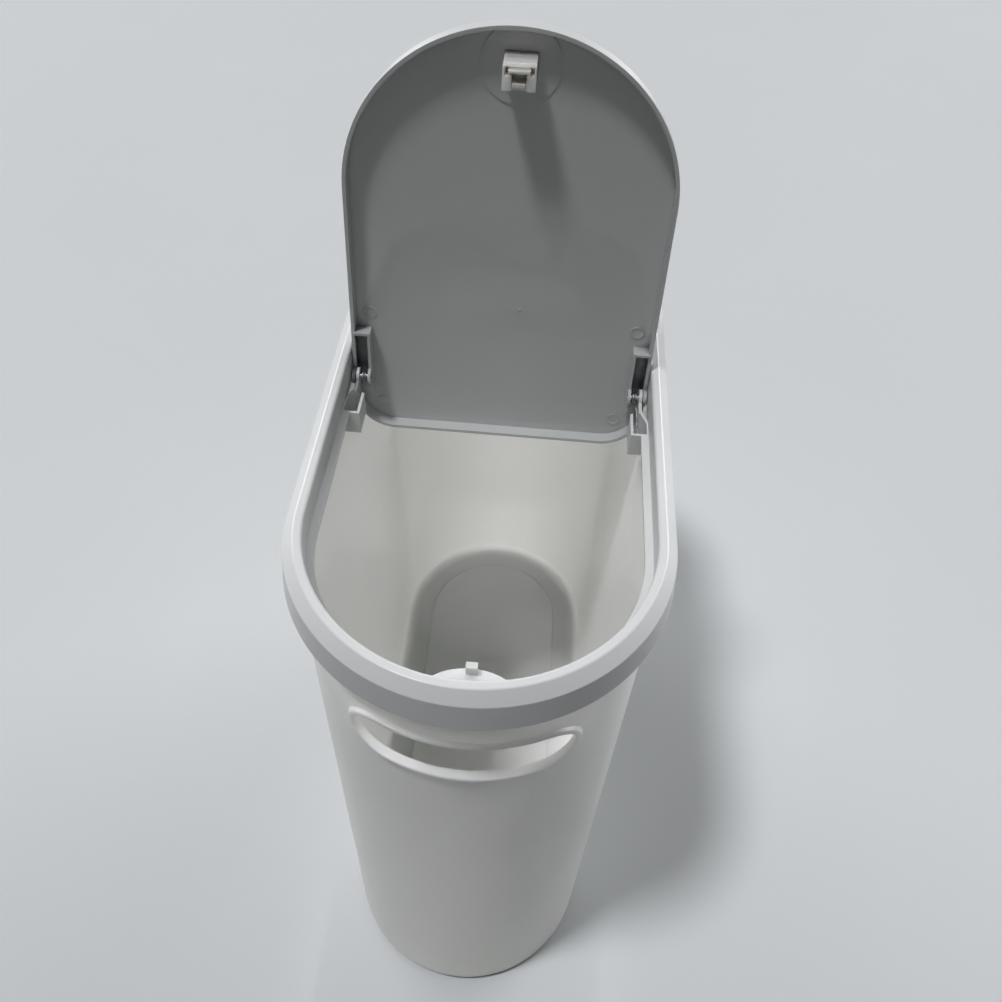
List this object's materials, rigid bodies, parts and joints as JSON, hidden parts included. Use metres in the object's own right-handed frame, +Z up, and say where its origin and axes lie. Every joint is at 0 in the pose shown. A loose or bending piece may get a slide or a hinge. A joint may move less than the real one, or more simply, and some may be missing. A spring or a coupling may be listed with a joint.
{
  "type": "bathroom bin",
  "caption": "Slim stadium-plan bathroom bin: tapered white bucket with carrying slots, grey lift-off collar and a sprung lid with a push latch.",
  "frame": {"origin": "on the floor under the middle of the bin", "axes": "+Z up, -Y towards the latch end, which is the front, +X to the right seen from the front"},
  "size_m": [0.1392, 0.3056, 0.4358],
  "materials": {
    "white_polypropylene": "fine satin moulding",
    "grey_polypropylene": "satin moulding",
    "white_acetal": "smooth moulding",
    "spring_steel": "bright drawn wire"
  },
  "bodies": {
    "bucket": {"bucket": "white_polypropylene"},
    "collar": {"rim_collar": "grey_polypropylene", "latch_striker": "white_acetal", "hinge_pin_right": "spring_steel", "hinge_pin_left": "spring_steel", "lid_spring_right": "spring_steel", "lid_spring_left": "spring_steel"},
    "lid": {"lid": "grey_polypropylene", "latch_housing": "white_acetal", "latch_spring": "spring_steel", "latch_follower_pin": "spring_steel"},
    "slider": {"latch_slider": "white_acetal"},
    "front_jaw": {"latch_jaw_front": "white_acetal"},
    "rear_jaw": {"latch_jaw_rear": "white_acetal"}
  },
  "joints": [
    {"name": "collar_lift", "type": "slide", "parent": "bucket", "child": "collar", "axis": [0, 0, 1], "range_m": [0, 0.06]},
    {"name": "lid_hinge", "type": "hinge", "parent": "collar", "child": "lid", "pos_m": [0, 0.00039, 0.292], "axis": [1, 0, 0], "range_deg": [0, 95.26], "stiffness_Nm_per_rad": 0.022, "springref_deg": -20.05},
    {"name": "latch_slide", "type": "slide", "parent": "lid", "child": "slider", "axis": [0, 0.9958, -0.0917], "range_m": [0, 0.002], "stiffness_N_per_m": 200, "springref_m": -0.004, "deforming": ["latch_spring"]},
    {"name": "front_jaw_pivot", "type": "hinge", "parent": "slider", "child": "front_jaw", "pos_m": [0.0015, 0.01036, 0.42425], "axis": [1, 0, 0], "range_deg": [0, 6]},
    {"name": "rear_jaw_pivot", "type": "hinge", "parent": "slider", "child": "rear_jaw", "pos_m": [0.0015, 0.00999, 0.42027], "axis": [1, 0, 0], "range_deg": [-6, 0]}
  ],
  "couplings": [
    {"joint": "front_jaw_pivot", "follows": "latch_slide", "rad_per_m": 52.36},
    {"joint": "rear_jaw_pivot", "follows": "latch_slide", "rad_per_m": -52.36}
  ]
}
